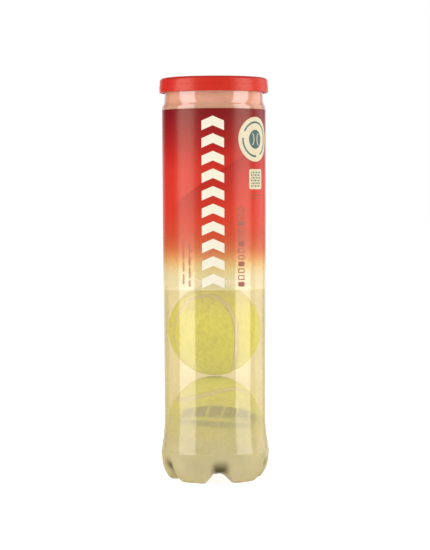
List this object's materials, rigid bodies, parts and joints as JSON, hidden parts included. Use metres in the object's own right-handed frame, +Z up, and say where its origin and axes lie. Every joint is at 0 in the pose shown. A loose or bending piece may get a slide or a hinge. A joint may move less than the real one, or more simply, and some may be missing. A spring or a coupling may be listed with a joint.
{
  "type": "tennis ball can",
  "caption": "Clear plastic tennis ball can with petal-foot base, wrap label, ring-pull metal end, press-on overcap and a stack of felt balls inside.",
  "frame": {"origin": "on the can's axis, in the plane its feet stand on", "axes": "+Z up the can's axis; -Y out of the front of the label; +X to the right seen from the front"},
  "size_m": [0.0768, 0.0768, 0.284],
  "materials": {
    "pet": "clear, beige-tinted recycled PET, glossy",
    "label": "printed clear film, dark red fading through orange to clear, satin gloss",
    "cap": "red polyethylene, satin",
    "aluminium": "bright rolled",
    "compound": "matt",
    "felt": "napped optic-yellow felt",
    "seam": "matt, pale grey",
    "rubber": "matt black"
  },
  "bodies": {
    "can": {"can_body": "pet", "label_wrap": "label", "end_ring": "aluminium", "seam_compound": "compound"},
    "ball_1": {"ball_1_felt_a": "felt", "ball_1_felt_b": "felt", "ball_1_seam": "seam", "ball_1_core_a": "rubber", "ball_1_core_b": "rubber"},
    "ball_2": {"ball_2_felt_a": "felt", "ball_2_felt_b": "felt", "ball_2_seam": "seam", "ball_2_core_a": "rubber", "ball_2_core_b": "rubber"},
    "ball_3": {"ball_3_felt_a": "felt", "ball_3_felt_b": "felt", "ball_3_seam": "seam", "ball_3_core_a": "rubber", "ball_3_core_b": "rubber"},
    "ball_4": {"ball_4_felt_a": "felt", "ball_4_felt_b": "felt", "ball_4_seam": "seam", "ball_4_core_a": "rubber", "ball_4_core_b": "rubber"},
    "lid_panel": {"tear_panel": "aluminium", "tab_tongue": "aluminium"},
    "pull_tab": {"pull_tab": "aluminium"},
    "overcap": {"overcap": "cap"}
  },
  "joints": [
    {"name": "ball_1_lift", "type": "slide", "parent": "can", "child": "ball_1", "axis": [0, 0, 1], "range_m": [0, 0.3]},
    {"name": "ball_2_lift", "type": "slide", "parent": "ball_1", "child": "ball_2", "axis": [0, 0, 1], "range_m": [0, 0.24]},
    {"name": "ball_3_lift", "type": "slide", "parent": "ball_2", "child": "ball_3", "axis": [0, 0, 1], "range_m": [0, 0.17]},
    {"name": "ball_4_lift", "type": "slide", "parent": "ball_3", "child": "ball_4", "axis": [0, 0, 1], "range_m": [0, 0.1]},
    {"name": "lid_panel_lift", "type": "slide", "parent": "ball_4", "child": "lid_panel", "axis": [0, 0, 1], "range_m": [0, 0.04]},
    {"name": "overcap_lift", "type": "slide", "parent": "lid_panel", "child": "overcap", "axis": [0, 0, 1], "range_m": [0, 0.08]},
    {"name": "pull_tab_hinge", "type": "hinge", "parent": "lid_panel", "child": "pull_tab", "pos_m": [0, -0.028, 0.2772], "axis": [1, 0, 0], "range_deg": [0, 95]}
  ],
  "couplings": [
    {"joint": "pull_tab_hinge", "follows": "overcap_lift", "rad_per_m": 20}
  ]
}
